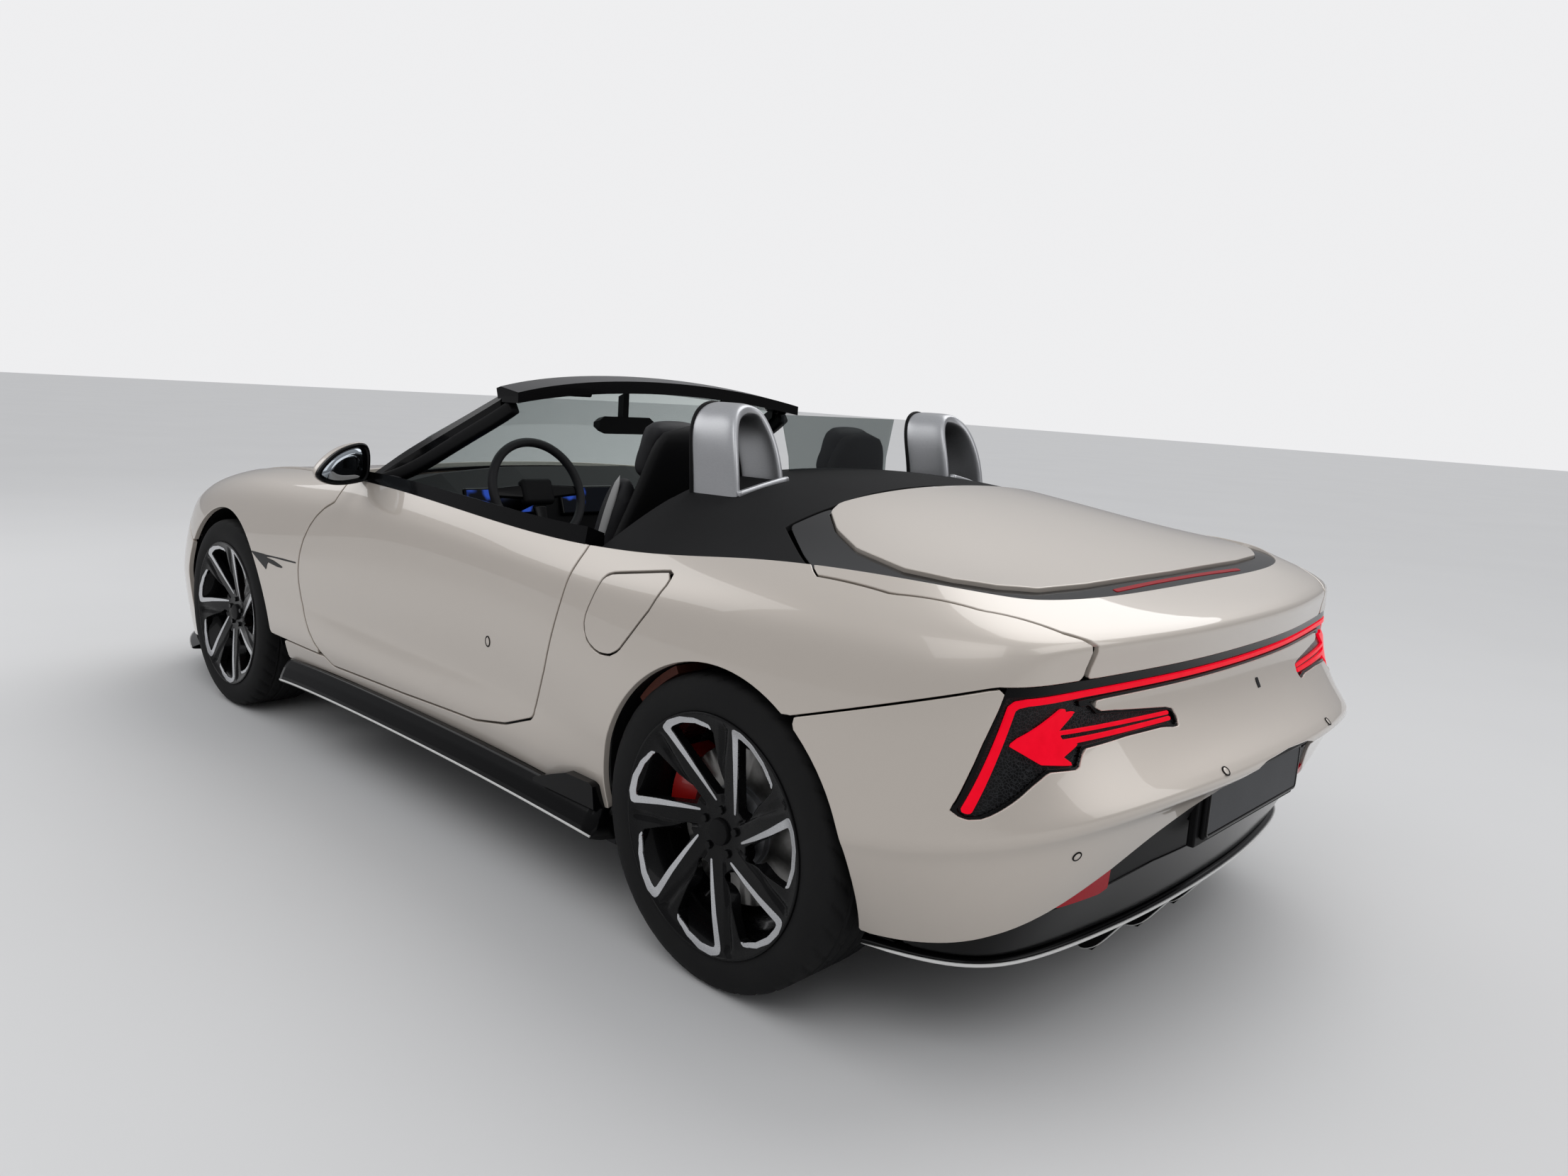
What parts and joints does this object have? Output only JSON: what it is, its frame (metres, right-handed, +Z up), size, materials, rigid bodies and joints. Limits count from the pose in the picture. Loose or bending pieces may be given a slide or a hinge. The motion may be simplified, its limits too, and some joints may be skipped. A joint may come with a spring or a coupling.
{
  "type": "two-seat electric roadster convertible",
  "caption": "Low two-seat electric roadster with upswinging doors, roof stowed, hoops behind the seats, arched boot lid and arrow-shaped tail lamps.",
  "frame": {"origin": "on the ground under the middle of the car's bounding box", "axes": "+X forward, +Y to the car's left, +Z up"},
  "size_m": [4.5369, 2.006, 1.318],
  "materials": {
    "body_paint": "gloss",
    "gloss_black": "gloss",
    "satin_black": "satin",
    "lamp_red": "gloss",
    "lamp_front": "gloss",
    "silver": "satin",
    "structure": "satin",
    "cast_case": "matte",
    "caliper_red": "gloss",
    "wheel_black": "gloss",
    "tyre": "matte",
    "seat_leather": "satin",
    "clear_glass": "gloss",
    "smoked_glass": "gloss"
  },
  "bodies": {
    "body": {"arch_liners": "satin_black", "centre_console": "satin_black", "charge_socket": "satin_black", "cowl_panel": "satin_black", "dashboard": "satin_black", "deck_cover": "satin_black", "diffuser": "satin_black", "drive_blocks": "cast_case", "floor_tub": "structure", "front_arms": "structure", "front_bumper": "body_paint", "front_grille": "gloss_black", "front_wings": "body_paint", "headlamps": "lamp_front", "inner_mirror": "gloss_black", "plate_holder": "satin_black", "rear_bumper": "body_paint", "rear_calipers": "caliper_red", "rear_hubs": "structure", "roll_hoops": "silver", "screen_frame": "gloss_black", "seats": "seat_leather", "side_panels": "body_paint", "side_skirts": "satin_black", "steering_column": "satin_black", "tail_lamps": "lamp_red", "wind_blocker": "smoked_glass", "windscreen": "clear_glass"},
    "door_left": {"door_left": "body_paint", "door_belt_left": "gloss_black", "mirror_left": "gloss_black"},
    "door_right": {"door_right": "body_paint", "door_belt_right": "gloss_black", "mirror_right": "gloss_black"},
    "bonnet": {"bonnet": "body_paint"},
    "boot_lid": {"boot_lid": "body_paint", "boot_band": "gloss_black", "boot_panel": "body_paint"},
    "charge_flap": {"charge_flap": "body_paint"},
    "steer_left": {"knuckle_left": "structure", "caliper_left": "caliper_red"},
    "steer_right": {"knuckle_right": "structure", "caliper_right": "caliper_red"},
    "wheel_front_left": {"tyre_front_left": "tyre", "rim_front_left": "wheel_black"},
    "wheel_front_right": {"tyre_front_right": "tyre", "rim_front_right": "wheel_black"},
    "wheel_rear_left": {"tyre_rear_left": "tyre", "rim_rear_left": "wheel_black"},
    "wheel_rear_right": {"tyre_rear_right": "tyre", "rim_rear_right": "wheel_black"},
    "steering_wheel": {"steering_wheel": "seat_leather"}
  },
  "joints": [
    {"name": "door_left_hinge", "type": "hinge", "parent": "body", "child": "door_left", "pos_m": [0.3575, 0.79, 0.925], "axis": [0, 0.9903, -0.1392], "range_deg": [0, 75]},
    {"name": "door_right_hinge", "type": "hinge", "parent": "body", "child": "door_right", "pos_m": [0.3575, -0.79, 0.925], "axis": [0, 0.9903, 0.1392], "range_deg": [0, 75]},
    {"name": "bonnet_hinge", "type": "hinge", "parent": "body", "child": "bonnet", "pos_m": [0.6335, 0, 0.912], "axis": [0, 1, 0], "range_deg": [-50, 0]},
    {"name": "boot_hinge", "type": "hinge", "parent": "body", "child": "boot_lid", "pos_m": [-1.3135, 0, 1.04], "axis": [0, 1, 0], "range_deg": [0, 45]},
    {"name": "flap_hinge", "type": "hinge", "parent": "body", "child": "charge_flap", "pos_m": [-0.9395, 0.91454, 0.738], "axis": [0, 0.1567, -0.9876], "range_deg": [0, 80]},
    {"name": "steer_left_pivot", "type": "hinge", "parent": "body", "child": "steer_left", "pos_m": [1.2775, 0.76, 0.352], "axis": [0, 0, 1], "range_deg": [-35, 35]},
    {"name": "steer_right_pivot", "type": "hinge", "parent": "body", "child": "steer_right", "pos_m": [1.2775, -0.76, 0.352], "axis": [0, 0, 1], "range_deg": [-35, 35]},
    {"name": "steering_wheel_turn", "type": "hinge", "parent": "body", "child": "steering_wheel", "pos_m": [0.0375, 0.4, 0.93], "axis": [-0.9272, 0, 0.3746], "range_deg": [-472.5, 472.5]},
    {"name": "spin_front_left", "type": "hinge", "parent": "steer_left", "child": "wheel_front_left", "pos_m": [1.2775, 0.8075, 0.352], "axis": [0, 1, 0], "continuous": true},
    {"name": "spin_front_right", "type": "hinge", "parent": "steer_right", "child": "wheel_front_right", "pos_m": [1.2775, -0.8075, 0.352], "axis": [0, 1, 0], "continuous": true},
    {"name": "spin_rear_left", "type": "hinge", "parent": "body", "child": "wheel_rear_left", "pos_m": [-1.4125, 0.8105, 0.35], "axis": [0, 1, 0], "continuous": true},
    {"name": "spin_rear_right", "type": "hinge", "parent": "body", "child": "wheel_rear_right", "pos_m": [-1.4125, -0.8105, 0.35], "axis": [0, 1, 0], "continuous": true}
  ],
  "couplings": [
    {"joint": "steer_right_pivot", "follows": "steer_left_pivot", "ratio": 1},
    {"joint": "steering_wheel_turn", "follows": "steer_left_pivot", "ratio": 13.5}
  ]
}
